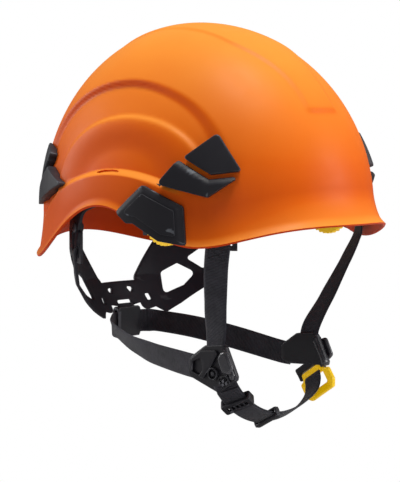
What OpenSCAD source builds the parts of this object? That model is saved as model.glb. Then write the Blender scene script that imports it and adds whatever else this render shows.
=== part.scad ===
// Climbing and rigging helmet: hard shell, textile cradle, headband with two side wheels,
// folding nape frame and a four-point chin strap. Millimetres, +Z up, front of the helmet at -Y,
// the wearer's right at -X. The origin is the centre of the head seat.

/* [Shell] */
// Half length of the dome from its centre to the forehead
dome_front = 138; // [134:0.5:142]
// Half length of the dome from its centre to the back
dome_rear = 119.5; // [118:0.5:123]
// Half width of the dome
dome_side = 106.5; // [105:0.5:109]
// Height of the dome above its widest level
dome_h = 132.5; // [130:0.5:138]
// Fullness of the dome's outline, 2 is a plain ellipse
dome_full = 2.06; // [2:0.02:2.2]
// Wall thickness of the shell
wall = 3; // [2.6:0.1:3.2]
// How far the front brim turns outwards
brim_flare = 9; // [6:0.5:12]
// How far the rear edge turns outwards
rear_flare = 6; // [4:0.5:8]
// Depth of the outer side step
step_1 = 2.6; // [1.5:0.1:3]
// Depth of the inner side step
step_2 = 2.4; // [1.5:0.1:3]

/* [Webbing] */
// Width of the chin and side webbing
web_w = 17; // [15:0.5:18]
// Thickness of the webbing
web_t = 1.4; // [1.2:0.1:1.6]
// Width of the crown webbing
crown_w = 18; // [14:0.5:20]
// Radius of the curve that the chin strap hangs in
chin_r = 67; // [66:0.5:68]

/* [Headband and adjuster] */
// Height of the headband
band_h = 24; // [20:1:26]
// Thickness of the headband and the nape frame
band_t = 2.2; // [1.8:0.1:2.4]
// Pitch radius of the wheel's pinion
pinion_r = 7.5; // [7.5:0.5:7.5]
// Outer radius of the thumb wheel
wheel_r = 19.5; // [18:0.25:19.75]
// Radius of the wheel's axle
axle_r = 2.5; // [2.2:0.1:2.8]
// Radius of the pin that the nape frame folds on
fold_pin_r = 3; // [2.6:0.1:3.2]
// Radial clearance of every pin in its hole
run_gap = 0.06; // [0.04:0.01:0.09]

/* [Chin hardware] */
// Thickness of the strap dividers
divider_t = 5; // [4.6:0.2:5.4]
// Radius of the small hinge pins
pin_r = 1; // [0.9:0.1:1.1]

/* [Hidden] */
$fn = 48;
orange = [0.93, 0.42, 0.12];
black = [0.15, 0.15, 0.16];
webbing = [0.17, 0.16, 0.19];
yellow = [1, 0.80, 0.05];
foam = [0.25, 0.25, 0.27];

// ---- small helpers ----
function lerp(a, b, t) = a + (b - a) * t;
function unit(v) = v / norm(v);
function smooth(t) = let (c = min(1, max(0, t))) c * c * (3 - 2 * c);
function ease(t) = (1 - cos(180 * t)) / 2;
function poly_at(c, u) = let (n = len(c) - 1, k = min(n - 1, floor(u * n)), t = u * n - k)
    lerp(c[k], c[k + 1], t);
function volume6(p, f) = let (s = [for (t = f) p[t[0]] * cross(p[t[1]], p[t[2]])]) s * [for (x = s) 1];
module solid(p, f) {
    g = volume6(p, f) > 0 ? [for (t = f) [t[2], t[1], t[0]]] : f;
    polyhedron(points = p, faces = g, convexity = 8);
}
// closed solid through a list of rings; each ring runs along its outer side, then back along its inner side
module skin(rings) {
    m = len(rings[0]);
    n = len(rings);
    p = [for (r = rings) each r];
    side = [for (i = [0:n - 2], j = [0:m - 1]) let (a = i * m + j, b = i * m + (j + 1) % m, c = b + m, d = a + m)
        each [[a, b, c], [a, c, d]]];
    cap = [for (e = [0, 1], i = [0:m / 2 - 2]) let (o = e * (n - 1) * m,
        a = o + i, b = o + i + 1, c = o + m - 2 - i, d = o + m - 1 - i)
        each (e == 0 ? [[c, b, a], [d, c, a]] : [[a, b, c], [a, c, d]])];
    solid(p, concat(side, cap));
}
// flat strap: stations of [centre, width direction, face direction]
module strap(st, w, t) skin([for (s = st) let (c = s[0], a = unit(s[1]) * w / 2, b = unit(s[2]) * t / 2)
    [c + a + b, c - a + b, c - a - b, c + a - b]]);

// ---- dome ----
// p is the angle round the helmet, 0 at the front and negative towards the wearer's right
function rho(p) = let (s = abs(sin(p)), c = cos(p), a = c > 0 ? dome_front : dome_rear)
    pow(pow(s / dome_side, dome_full) + pow(abs(c) / a, dome_full), -1 / dome_full);
rim_pts = [[0, -7.5], [48, -21.5], [87, 4.5], [137, -36], [180, -22]];
function rim(p) = let (a = abs(p), k = a < 48 ? 0 : a < 87 ? 1 : a < 137 ? 2 : 3,
    t = (a - rim_pts[k][0]) / (rim_pts[k + 1][0] - rim_pts[k][0]))
    lerp(rim_pts[k][1], rim_pts[k + 1][1], ease(k == 0 ? pow(t, 1.6) : t));
function flare(p, z) = let (h = z - rim(p), c = cos(p))
    brim_flare * pow(max(0, 1 - h / 24), 2) * pow(max(0, c), 3)
    + rear_flare * pow(max(0, 1 - h / 30), 1.5) * pow(max(0, -c), 2);
// two curved steps on each side, closed below by a ledge
function relief(y, z) = let (
    e1 = norm([(y + 8) / 90, max(0, z - 20) / 71]), e2 = norm([(y + 17) / 67, max(0, z - 19.5) / 47.5]),
    up = smooth((z - 30 + pow(y + 13, 2) / 230) / 5))
    -up * (step_1 * smooth((1 - e1) * 75 / 6) + step_2 * smooth((1 - e2) * 55 / 6));
function dome(p, z, d = 0) = let (zz = max(z, 0),
    r = rho(p) * sqrt(max(0, 1 - pow(zz / dome_h, 2))) + flare(p, z),
    q = [r * sin(p), -r * cos(p), z],
    n = unit([q.x / pow(dome_side, 2), q.y / pow(q.y < 0 ? dome_front : dome_rear, 2), zz / pow(dome_h, 2)]))
    q + n * d;
function dome_relief(p, z) = relief(-rho(p) * sqrt(max(0, 1 - pow(max(z, 0) / dome_h, 2))) * cos(p), z);

module shell() {
    nc = 72;
    nr = 22;
    function lat(p, j) = let (a = asin(rim(p) / dome_h)) a + (90 - a) * j / nr;
    function pt(i, j, d) = let (p = -180 + i * 360 / nc, z = dome_h * sin(lat(p, j)))
        dome(p, z, dome_relief(p, z) + d);
    o = nr * nc + 1;
    pts = [for (d = [0, -wall]) each concat([for (j = [0:nr - 1], i = [0:nc - 1]) pt(i, j, d)],
        [[0, 0, dome_h + d]])];
    function nx(i) = (i + 1) % nc;
    walls = [for (s = [0, 1], j = [0:nr - 2], i = [0:nc - 1])
        let (a = s * o + j * nc + i, b = s * o + j * nc + nx(i), c = b + nc, d = a + nc)
        each (s == 0 ? [[a, b, c], [a, c, d]] : [[c, b, a], [d, c, a]])];
    tops = [for (s = [0, 1], i = [0:nc - 1]) let (a = s * o + (nr - 1) * nc + i, b = s * o + (nr - 1) * nc + nx(i))
        s == 0 ? [a, b, o - 1] : [2 * o - 1, b, a]];
    edge = [for (i = [0:nc - 1]) each [[o + i, o + nx(i), nx(i)], [o + i, nx(i), i]]];
    color(orange) solid(pts, concat(walls, tops, edge));
}

// curved plate that lies on the dome between two rows of [angle, height] corners
module dome_plate(lo, hi, sink, proud, nu = 8, nv = 5) skin([for (i = [0:nu]) let (a = poly_at(lo, i / nu),
    b = poly_at(hi, i / nu)) concat(
    [for (j = [0:nv]) let (q = lerp(a, b, j / nv)) dome(q[0], q[1], proud)],
    [for (j = [nv:-1:0]) let (q = lerp(a, b, j / nv)) dome(q[0], q[1], dome_relief(q[0], q[1]) - sink)])]);

// ---- lamp clips and side covers, for the wearer's right ----
module hook_front() dome_plate([[-52, 37.3], [-43, 26]], [[-40, 53.6], [-34, 28.3]], 0.6, 4.4, 6, 5);
module base_front() dome_plate([[-61, 19], [-44, 11.1], [-34.4, 22.6]], [[-53.6, 35], [-43.6, 23], [-34, 25]],
    0.6, 5.2, 8, 4);
module hook_rear() dome_plate([[-141, 15.4], [-128.5, 33]], [[-150, 18], [-136, 46], [-127.5, 38.5]], 0.6, 1.8, 6, 5);
module base_rear() dome_plate([[-151, 10], [-139, 0.5], [-109.5, 17.6]],
    [[-150.5, 13.5], [-142, 11.5], [-127, 29.5]], 0.6, 2.2);
module cover() dome_plate([[-78, 0.7], [-73, -7], [-60, -18], [-51, -21]],
    [[-77.4, 2.6], [-67, 19.2], [-59, 12.5], [-52, 5.3]], 0.8, 3.6, 9, 6);
module lefty() mirror([1, 0, 0]) children();

// ---- textile cradle ----
function facing(p) = atan2(sin(p) / pow(dome_side, 2), cos(p) / pow(cos(p) > 0 ? dome_front : dome_rear, 2));
module on_wall(p, z) {
    q = dome(p, z, -wall);
    translate(q) rotate([0, 0, facing(p) - 90]) children();
}
module anchor(p, z = 13, w = 22, h = 14, t = 5.2) color(black) on_wall(p, z) {
    translate([-t - 0.9, -w / 2, -h / 2]) cube([t, w, h]);
    translate([-2, 0, 0]) rotate([0, 90, 0]) cylinder(r = 3.6, h = 3.2);
}
// radius at which a crown strap starts; at the front it keeps clear of the side steps
function reach(p) = norm([for (k = [0, 1]) dome(p, 13, -wall)[k]]) - (cos(p) > 0.3 ? 5.4 : 2.9);
module crown(p, top) color(webbing) {
    n = 20;
    strap([for (i = [0:n]) let (a = 180 * i / n, q = a < 90 ? p : p + 180, e = a < 90 ? 1 : -1,
        r = reach(q) * pow(abs(cos(a)), 0.85) * (1 - 0.09 * smooth(min(a, 180 - a) / 25)),
        c = [r * sin(q), -r * cos(q), 12 + (top - 12) * sin(a)],
        f = [sin(q) * cos(a) * e * top, -cos(q) * cos(a) * e * top, sin(a) * reach(q)])
        [c, [cos(p), sin(p), 0], f]], crown_w, 1.2);
}

// ---- headband, adjuster wheels and racks ----
wheel_c = [-86.6, -50, -3];
fold_c = [-77.7, -32, -8];
function band_at(a, d = 0) = [(79 + d) * sign(sin(a)) * pow(abs(sin(a)), 0.87), -30 - (84 + d) * pow(cos(a), 0.87)];
module band(a0, d, h, t, z0, n) skin([for (i = [0:n]) let (a = lerp(-a0, a0, i / n), q = band_at(a, d),
    k = band_at(a, d - t)) [[q.x, q.y, z0], [q.x, q.y, z0 + h], [k.x, k.y, z0 + h], [k.x, k.y, z0]]]);
module headband() color(black) band(72, 1, band_h, band_t, -6, 36);
module brow_pad() color(foam) band(50, -1.5, band_h - 2, 6.5, -5, 24);
// involute outline of the pinion, one tooth pointing down
function inv(a) = tan(a) * 180 / PI - a;
module pinion_2d(n = 15, slack = 1.3) {
    rb = pinion_r * cos(20);
    function flank(r) = 90 / n + inv(20) - inv(acos(min(1, rb / r))) - slack;
    rr = [for (i = [0:4]) lerp(rb + 0.01, pinion_r + 0.85, i / 4)];
    union() {
        circle(r = pinion_r - 1.15);
        for (k = [0:n - 1]) rotate(k * 360 / n - 90) polygon(concat(
            [[pinion_r - 1.4, -0.9]], [for (r = rr) r * [cos(flank(r)), -sin(flank(r))]],
            [for (i = [4:-1:0]) let (r = rr[i]) r * [cos(flank(r)), sin(flank(r))]], [[pinion_r - 1.4, 0.9]]));
    }
}
module side_disc(h) rotate([90, 0, 0]) rotate([0, 90, 0]) linear_extrude(h, center = true) children();
// plane of +Y and +Z, thickness along X
module yz(x0, x1) translate([x0, 0, 0]) rotate([90, 0, 90]) linear_extrude(x1 - x0) children();
module wheel() color(yellow) difference() {
    union() {
        translate([0, wheel_c.y, wheel_c.z]) yz(-89, -84.6) difference() {
            circle(r = wheel_r);
            for (k = [0:31]) rotate(k * 11.25) translate([wheel_r + 0.4, 0]) circle(r = 1.3, $fn = 24);
        }
        translate([0, wheel_c.y, wheel_c.z]) yz(-84.7, -80.9) pinion_2d();
    }
    translate([-90, wheel_c.y, wheel_c.z]) rotate([0, 90, 0]) cylinder(r = axle_r + run_gap, h = 12);
}
module rack() color(black) {
    pitch = PI * pinion_r / 7.5;
    y0 = wheel_c.y;
    zp = wheel_c.z - pinion_r;
    yz(-84.2, -81) difference() {
        translate([-72, zp - 6]) square([46, 6.8]);
        for (k = [-6:7]) translate([y0 + k * pitch, zp]) polygon([[-0.5, -1.1], [0.5, -1.1], [1.23, 0.9], [-1.23, 0.9]]);
    }
    translate([-84.2, -68, zp - 6]) cube([10.4, 9, 4]);
    translate([-77.4, -68, zp - 6]) cube([3.6, 9, 14]);
}
module yoke() color(black) difference() {
    union() {
        yz(-80.2, -77.8) union() {
            translate([wheel_c.y, wheel_c.z]) circle(r = 8);
            translate([-56, -3]) square([12, 23]);
            polygon([[-50, 5], [-50, -10.9], [-32, -14.4], [-27, -12], [-26, -5], [-31, -1.6]]);
            translate([fold_c.y, fold_c.z]) circle(r = 6.5);
        }
        translate([-96.2, -54, 15]) difference() {
            cube([18.2, 10, 5]);
            translate([6.4, -1, -1]) cube([6, 12, wheel_r + wheel_c.z - 15 + 1.7]);
        }
        translate([-89.6, wheel_c.y, wheel_c.z]) rotate([0, 90, 0]) cylinder(r = axle_r, h = 10.5);
        translate([-79, fold_c.y, fold_c.z]) rotate([0, 90, 0]) cylinder(r = fold_pin_r, h = 4.6);
    }
}

// ---- nape frame: a bowl behind the head, narrower towards the neck, on two arms from the temples ----
bowl = [[-92, 68], [-83, 74], [-71, 81], [-57, 88.5], [-32, 93], [40, 93]];
low_pts = [[66, -17], [78, -11], [90, -3], [102, 3], [111, -4], [117, -28], [129, -66], [144, -79], [153, -85],
    [160, -81], [168, -82], [180, -82]];
top_pts = [[66, 2], [78, 8], [90, 14], [102, 17], [111, 13], [120, 2], [129, -14], [141, -26], [155, -31],
    [162, -46], [168, -59], [180, -61]];
function pick(c, a, k = 0) = a <= c[k + 1][0] || k == len(c) - 2
    ? lerp(c[k][1], c[k + 1][1], (a - c[k][0]) / (c[k + 1][0] - c[k][0])) : pick(c, a, k + 1);
function nape_r(a, z) = let (b = a > 180 ? 360 - a : a,
    front = 1 / norm([sin(b) / 76, cos(b) / 108])) lerp(front, pick(bowl, z), smooth((b - 88) / 30));
function nape_pt(a, v, d) = let (b = a > 180 ? 360 - a : a, z = lerp(pick(low_pts, b), pick(top_pts, b), v),
    r = nape_r(a, z) + d) [r * sin(a), -r * cos(a), z];
module nape_frame() {
    nc = 76;
    nv = 9;
    function at(i) = 66 + i * 3;
    function side_of(i) = i > nc / 2 - 1 ? nc - 1 - i : i;
    // open windows, as column and row ranges counted from each temple
    win = [[17, 17, 1, 2], [20, 22, 5, 7], [24, 28, 2, 4], [32, 32, 3, 5], [35, 36, 5, 6], [37, 37, 2, 3]];
    function open(i, j) = i < 0 || i >= nc || j < 0 || j >= nv
        || len([for (w = win) if (side_of(i) >= w[0] && side_of(i) <= w[1] && j >= w[2] && j <= w[3]) 1]) > 0;
    o = (nc + 1) * (nv + 1);
    function id(i, j, s) = s * o + j * (nc + 1) + i;
    pts = [for (s = [0, 1], j = [0:nv], i = [0:nc]) nape_pt(at(i), j / nv, s == 0 ? band_t / 2 : -band_t / 2)];
    faces = [for (i = [0:nc - 1], j = [0:nv - 1]) if (!open(i, j)) let (
        a = id(i, j, 0), b = id(i + 1, j, 0), c = id(i + 1, j + 1, 0), d = id(i, j + 1, 0),
        e = a + o, f = b + o, g = c + o, h = d + o) each concat(
        [[a, b, c], [a, c, d], [g, f, e], [h, g, e]],
        open(i, j - 1) ? [[e, f, b], [e, b, a]] : [], open(i, j + 1) ? [[d, c, g], [d, g, h]] : [],
        open(i - 1, j) ? [[e, a, d], [e, d, h]] : [], open(i + 1, j) ? [[b, f, g], [b, g, c]] : [])];
    color(black) difference() {
        solid(pts, faces);
        rivet_bore();
        lefty() rivet_bore();
    }
}
module eye() color(black) {
    difference() {
        union() {
            translate([-77.4, fold_c.y, fold_c.z]) rotate([0, 90, 0]) cylinder(r = 7, h = band_t);
            yz(-77.4, -77.4 + band_t) polygon([[-36, -13.5], [-4, -4], [-4, 10], [-30, -1.5]]);
        }
        translate([-78, fold_c.y, fold_c.z]) rotate([0, 90, 0]) cylinder(r = fold_pin_r + run_gap, h = 5);
    }
}
// twin upright link at the back of the frame
strut_p = -117;
strut_q = [93 * sin(strut_p), -93 * cos(strut_p)];
module at_strut() translate([strut_q.x, strut_q.y, 0]) rotate([0, 0, strut_p - 90]) translate([-3.6, 0, 0])
    children();
module rivet_bore() at_strut() translate([0, 0, -14]) rotate([0, 90, 0]) cylinder(r = 1.9, h = 8);
module strut() color(black) at_strut() difference() {
    rotate([90, 0, 90]) linear_extrude(1.8) difference() {
        union() {
            translate([-5, -40]) square([10, 26]);
            translate([0, -14]) circle(r = 5);
            translate([-4, -14]) square([8, 12]);
        }
        translate([0, -14]) circle(r = 1.9);
        translate([-1.2, -36]) square([2.4, 14]);
    }
}
module rivet() color(black) at_strut() translate([0, 0, -14]) rotate([0, 90, 0]) {
    translate([0, 0, -1.6]) cylinder(r = 3.4, h = 1.6);
    cylinder(r = 1.9, h = 4.8);
    translate([0, 0, 4.8]) cylinder(r = 3.4, h = 1.4);
}
guide_c = [0, 74.5, -91];
module strap_guide() color(black) translate(guide_c) difference() {
    translate([-12, -2.8, -10.8]) cube([24, 5.6, 22.8]);
    translate([-20, -1.3, -8.9]) cube([40, 2.6, 17.8]);
}

// ---- side and chin webbing ----
module front_strap() color(webbing) strap([
    [[-75.2, -88.4, -1], [0.56, -0.83, 0], [-0.83, -0.56, 0]],
    [[-75.4, -88.4, -14], [0.56, -0.83, 0], [-0.83, -0.56, -0.1]],
    [[-74.8, -87.2, -22], [0.53, -0.84, 0], [-0.84, -0.53, -0.3]],
    [[-70, -81, -39], [0.42, -0.90, 0], [-0.90, -0.42, -0.4]],
    [[-60, -71.5, -66], [0.2, -0.98, 0.05], [-0.93, -0.2, -0.38]],
    [[-51.8, -64.4, -86], [0, -1, 0.1], [-0.97, 0, -0.25]],
    [[-49.8, -62.5, -97], [0, -1, 0.1], [-1, 0, -0.1]]], web_w, web_t);
module rear_strap() color(webbing) strap([
    [[-1.5, 74.5, -91], [0, 0, 1], [0, 1, 0]],
    [[-11, 74.5, -91], [0, 0, 1], [-0.1, 1, 0]],
    [[-18, 71.5, -91.3], [0, 0, 1], [-0.6, 0.8, 0]],
    [[-23.5, 62, -92.5], [0, 0.02, 1], [-0.92, 0.39, 0]],
    [[-33, 35, -96.5], [0, 0.08, 1], [-0.96, 0.28, 0]],
    [[-42, 4, -101.5], [0, 0.1, 1], [-0.97, 0.24, 0]],
    [[-49, -34, -107.8], [0, 0.1, 1], [-1, 0.1, 0]],
    [[-49.8, -46, -109], [0, 0.1, 1], [-1, 0, 0]]], web_w, web_t);

// ---- strap dividers: x forwards, y up, z outwards in their own frame ----
div_c = [-50, -59, -109];
module at_divider() multmatrix([[0, 0, -1, div_c.x], [-1, 0, 0, div_c.y], [0, 1, 0, div_c.z], [0, 0, 0, 1]]) children();
div_out = [[-8.5, 14], [-6, 15.6], [10.5, 17.6], [13.2, 16], [23, -3.6], [22.6, -6.4], [8.6, -16], [5.4, -16],
    [-20, -7.4], [-21.4, -5], [-20.6, 5], [-19, 7]];
lock_dir = atan2(-19.6, 9.8);
module at_hinge() translate([18.1, 6.2, 4.6]) rotate([0, 0, lock_dir]) children();
module divider() color(black) at_divider() {
    difference() {
        translate([0, 0, -3]) linear_extrude(divider_t) polygon(div_out);
        translate([0, 0, 1.2]) linear_extrude(2) polygon([[-16, 5], [-16.5, -4.4], [-8, -7], [-2, -2], [-6, 10]]);
    }
    at_hinge() {
        for (s = [-1, 1]) translate([s * 7.4 - 1.2, -2.2, -3.8]) cube([2.4, 4.2, 5.6]);
        translate([-8, 0, 0]) rotate([0, 90, 0]) cylinder(r = pin_r, h = 16);
    }
}
module lock() color(black) at_divider() at_hinge() difference() {
    union() {
        translate([-5.8, 0, 0]) rotate([0, 90, 0]) cylinder(r = 2.1, h = 11.6);
        translate([0, 0, -2.2]) linear_extrude(3) polygon([[-5.8, 0], [5.8, 0], [5.8, -6], [3, -12], [-4, -12.6], [-5.8, -9]]);
    }
    translate([-9, 0, 0]) rotate([0, 90, 0]) cylinder(r = pin_r + run_gap, h = 18);
}

// ---- chin buckle on the wearer's left ----
clip_dir = 33.4;
module at_clip() lefty() at_divider() translate([7.4, -11.2, 0]) rotate([0, 0, clip_dir]) children();
module clip_seat() color(black) at_clip() {
    translate([-12.6, 2.6, -2.8]) cube([25.2, 4.8, 4.6]);
    for (s = [-1, 1]) translate([s * 11.3 - 1.3, -2.6, -2.4]) cube([2.6, 5.6, 3.8]);
    translate([-12, 0, -0.5]) rotate([0, 90, 0]) cylinder(r = 1.2, h = 24);
}
module buckle_clip() color(yellow) at_clip() difference() {
    union() {
        translate([-9.6, 0, -0.5]) rotate([0, 90, 0]) cylinder(r = 2.2, h = 19.2);
        translate([0, 0, -2.3]) linear_extrude(3.6) polygon([[-9.6, 0], [9.6, 0], [9.6, -4], [15.4, -4], [15.4, -14],
            [12, -19], [-11, -19], [-14.4, -15.6], [-14.4, -4], [-9.6, -4]]);
    }
    translate([-10.4, -15.6, -4]) cube([20.8, 11, 8]);
    translate([-14, 0, -0.5]) rotate([0, 90, 0]) cylinder(r = 1.2 + run_gap, h = 28);
}

// the left divider leaves out the corner where the clip seat and the yellow clip sit
module divider_left() color(black) difference() {
    lefty() divider();
    at_clip() {
        translate([-30, -34.8, -6]) cube([44.8, 40, 16]);
        translate([14, -34.8, -6]) cube([16, 31.8, 16]);
    }
}

// ---- chin strap on its arc about the Y axis ----
chin_c = [4, -72, -80];
module around(a0, a1) translate(chin_c) rotate([-90, 0, 0]) rotate([0, 0, a0]) rotate_extrude(angle = a1 - a0, $fn = 96)
    translate([chin_r, 0]) rotate(-30) children();
module chin_strap() color(webbing) around(42, 145.4) square([web_t, web_w], center = true);
module loop_2d(w, t, b) difference() {
    square([t + 2 * b, w + 2 * b], center = true);
    square([t, w], center = true);
}
module adjuster() color(black) around(125.5, 132) loop_2d(web_w + 1, web_t + 1, 2);
module keeper() color(black) around(97.6, 101.4) loop_2d(web_w + 1, web_t + 1, 1.8);

shell();
color(black) base_front();  // clip_base_fr
color(black) lefty() base_front();  // clip_base_fl
color(black) base_rear();  // clip_base_rr
color(black) lefty() base_rear();  // clip_base_rl
color(black) hook_front();  // clip_hook_fr
color(black) lefty() hook_front();  // clip_hook_fl
color(black) hook_rear();  // clip_hook_rr
color(black) lefty() hook_rear();  // clip_hook_rl
color(black) cover();  // cover_r
color(black) lefty() cover();  // cover_l
anchor(-36);  // anchor_fr
anchor(36);  // anchor_fl
anchor(-90);  // anchor_sr
anchor(90);  // anchor_sl
anchor(-144);  // anchor_rr
anchor(144);  // anchor_rl
crown(-36, 109);  // crown_strap_a
crown(36, 107);  // crown_strap_b
crown(90, 105);  // crown_strap_c
yoke();  // yoke_r
lefty() yoke();  // yoke_l
wheel();  // wheel_r
lefty() wheel();  // wheel_l
headband();
rack();  // rack_r
lefty() rack();  // rack_l
brow_pad();
nape_frame();
eye();  // eye_r
lefty() eye();  // eye_l
strut();  // strut_r
lefty() strut();  // strut_l
rivet();  // rivet_r
lefty() rivet();  // rivet_l
strap_guide();
anchor(-41, -6, 22, 14, 4);  // strap_anchor_r
lefty() anchor(-41, -6, 22, 14, 4);  // strap_anchor_l
front_strap();  // front_strap_r
lefty() front_strap();  // front_strap_l
rear_strap();  // rear_strap_r
lefty() rear_strap();  // rear_strap_l
divider();  // divider_r
divider_left();  // divider_l
lock();  // lock_r
lefty() lock();  // lock_l
clip_seat();
buckle_clip();
chin_strap();
adjuster();
keeper();
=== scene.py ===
"""Looks of the climbing helmet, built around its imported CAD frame. Helpers work in millimetres."""
import math

import bmesh
import bpy
import numpy as np
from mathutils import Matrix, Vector


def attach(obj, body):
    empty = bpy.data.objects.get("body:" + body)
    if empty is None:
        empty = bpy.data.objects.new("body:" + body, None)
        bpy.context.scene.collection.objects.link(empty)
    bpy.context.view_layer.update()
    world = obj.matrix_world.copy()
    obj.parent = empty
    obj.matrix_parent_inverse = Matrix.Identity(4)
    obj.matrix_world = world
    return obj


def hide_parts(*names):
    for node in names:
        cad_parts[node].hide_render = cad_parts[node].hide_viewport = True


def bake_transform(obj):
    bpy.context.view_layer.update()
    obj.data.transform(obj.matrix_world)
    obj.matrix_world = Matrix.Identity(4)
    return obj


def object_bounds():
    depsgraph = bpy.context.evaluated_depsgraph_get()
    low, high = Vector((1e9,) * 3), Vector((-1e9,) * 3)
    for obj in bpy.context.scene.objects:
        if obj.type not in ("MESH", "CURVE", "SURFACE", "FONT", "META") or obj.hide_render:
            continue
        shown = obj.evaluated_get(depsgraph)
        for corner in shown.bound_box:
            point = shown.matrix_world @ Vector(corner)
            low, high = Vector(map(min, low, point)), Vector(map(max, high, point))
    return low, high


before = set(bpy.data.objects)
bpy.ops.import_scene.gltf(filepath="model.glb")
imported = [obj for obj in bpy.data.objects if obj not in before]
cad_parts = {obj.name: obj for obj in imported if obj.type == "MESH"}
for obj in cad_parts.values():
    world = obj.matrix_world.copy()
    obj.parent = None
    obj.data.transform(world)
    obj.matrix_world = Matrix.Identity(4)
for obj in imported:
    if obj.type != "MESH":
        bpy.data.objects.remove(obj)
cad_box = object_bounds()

MM = 0.001
WELD = 0.002  # points closer than this become one
OFF_CORNERS = 0.013  # keeps the cuts of a plate off corners at whole millimetres
NEARLY_STRAIGHT = 1.56  # half a corner's angle, in radians, over which it isn't rounded
MOST_OF_SIDE = 0.46  # of a side, at most, may go into the arc at either end
ORANGE = (0.87, 0.16, 0.012)
BLACK = (0.013, 0.012, 0.017)
WEB = (0.020, 0.019, 0.027)
YELLOW = (1.0, 0.64, 0.005)
FOAM = (0.030, 0.030, 0.034)
PAINTED_GLOW = (1.0, 0.55, 0.0, 1)  # painted glow: the yellow plastic gives out a little light of its own
EDGE_AT = (0.515, 0.58)  # pointiness where the painted edge highlight and wear begin, and where they are full

# The camera stands in front of the wearer's right temple, a little above the rim.
CAM_AZIMUTH = math.radians(-47)
CAM_RISE = math.radians(3)
CAM_FAR = 1.4
CAM_LENS = 143.6
CAM_SHIFT = (0.0025, -0.0743)
to_camera = Vector((math.sin(CAM_AZIMUTH), -math.cos(CAM_AZIMUTH), 0))
to_right = Vector((math.cos(CAM_AZIMUTH), math.sin(CAM_AZIMUTH), 0))


# -------- helpers
def smooth(t):
    c = np.clip(t, 0, 1)
    return c * c * (3 - 2 * c)


def ramp(t):
    """A straight slope whose two corners are slightly rounded."""
    c = np.clip(t, 0, 1)
    return 0.6 * c + 0.4 * smooth(c)


def along_table(table, a):
    """Straight lines between the rows of a table of (place, value)."""
    return np.interp(a, [r[0] for r in table], [r[1] for r in table])


def mesh_piece(name, points, faces, finish, sharp=40, numbers=None):
    """A mesh object from points in millimetres; numbers are named values stored on its points."""
    mesh = bpy.data.meshes.new(name)
    mesh.from_pydata([tuple(p) for p in np.asarray(points) * MM], [], faces)
    for key, values in (numbers or {}).items():
        stored = mesh.attributes.new(key, "FLOAT", "POINT")
        stored.data.foreach_set("value", np.asarray(values, np.float32))
    return finished(name, mesh, finish, sharp)


def finished(name, mesh, finish, sharp=40):
    """Puts a mesh in the scene: smooth but for edges sharper than the angle given, with one finish."""
    bm = bmesh.new()
    bm.from_mesh(mesh)
    bmesh.ops.recalc_face_normals(bm, faces=bm.faces)
    for face in bm.faces:
        face.smooth = True
    for edge in bm.edges:
        edge.smooth = not (len(edge.link_faces) == 2 and edge.calc_face_angle(0) > math.radians(sharp))
    bm.to_mesh(mesh)
    bm.free()
    piece = bpy.data.objects.new(name, mesh)
    bpy.context.scene.collection.objects.link(piece)
    mesh.materials.append(finish)
    return piece


def fit(piece, body, slot, *nodes):
    """The piece rides on a body and stands for the CAD nodes named, which it hides; slot is not used."""
    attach(piece, body)
    if nodes:
        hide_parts(*nodes)
    return piece


def rounded(points, radius, steps=5):
    """The outline with an arc at each corner; a corner may carry its own radius as a third value."""
    out = []
    for k, corner in enumerate(points):
        p = Vector(corner[:2])
        a = Vector(points[k - 1][:2]) - p
        b = Vector(points[(k + 1) % len(points)][:2]) - p
        r = corner[2] if len(corner) > 2 else radius
        half = a.angle(b) / 2
        if half > NEARLY_STRAIGHT:
            out.append(tuple(p))
            continue
        reach = min(r / math.tan(half), MOST_OF_SIDE * a.length, MOST_OF_SIDE * b.length)
        r = reach * math.tan(half)
        a.normalize()
        b.normalize()
        centre = p + (a + b).normalized() * (r / math.sin(half))
        start = p + a * reach - centre
        turn = start.angle_signed(p + b * reach - centre)
        for i in range(steps + 1):
            t = -turn * i / steps
            c, s = math.cos(t), math.sin(t)
            out.append((centre.x + c * start.x - s * start.y, centre.y + s * start.x + c * start.y))
    return out


def inset(points, d):
    """The outline moved inwards by d."""
    area = sum(points[k - 1][0] * q[1] - q[0] * points[k - 1][1] for k, q in enumerate(points))
    side = 1 if area > 0 else -1
    out = []
    for k, corner in enumerate(points):
        p = Vector(corner[:2])
        a = (p - Vector(points[k - 1][:2])).normalized()
        b = (Vector(points[(k + 1) % len(points)][:2]) - p).normalized()
        na, nb = Vector((-a.y, a.x)) * side, Vector((-b.y, b.x)) * side
        out.append(tuple(p + (na + nb) * (d / (1 + na.dot(nb)))))
    return out


def disc(cx, cy, r, n):
    """A circle's outline with n points."""
    turns = [2 * math.pi * k / n for k in range(n)]
    return [(cx + r * math.cos(t), cy + r * math.sin(t)) for t in turns]


def block(x0, y0, x1, y1):
    """The four corners of a rectangle."""
    return [(x0, y0), (x1, y0), (x1, y1), (x0, y1)]


def tube(rows, ring, start=0, capped=True):
    """Faces of a tube whose points are numbered row by row, each row a closed ring."""
    def at(i, j):
        return start + i * ring + j % ring
    faces = [(at(i, j), at(i, j + 1), at(i + 1, j + 1), at(i + 1, j))
             for i in range(rows - 1) for j in range(ring)]
    if capped:
        faces.append(tuple(at(0, j) for j in range(ring)))
        faces.append(tuple(at(rows - 1, j) for j in reversed(range(ring))))
    return faces


def everything(bm):
    return [*bm.verts, *bm.edges, *bm.faces]


def mirror_right_half(bm):
    """Keeps the half at negative x, the wearer's right, and mirrors it."""
    bmesh.ops.bisect_plane(bm, geom=everything(bm), plane_co=(0, 0, 0), plane_no=(1, 0, 0), dist=1e-4,
                           clear_outer=True)
    twin = bmesh.ops.duplicate(bm, geom=everything(bm))["geom"]
    for v in twin:
        if isinstance(v, bmesh.types.BMVert):
            v.co.x = -v.co.x
    bmesh.ops.remove_doubles(bm, verts=bm.verts, dist=WELD)


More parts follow.
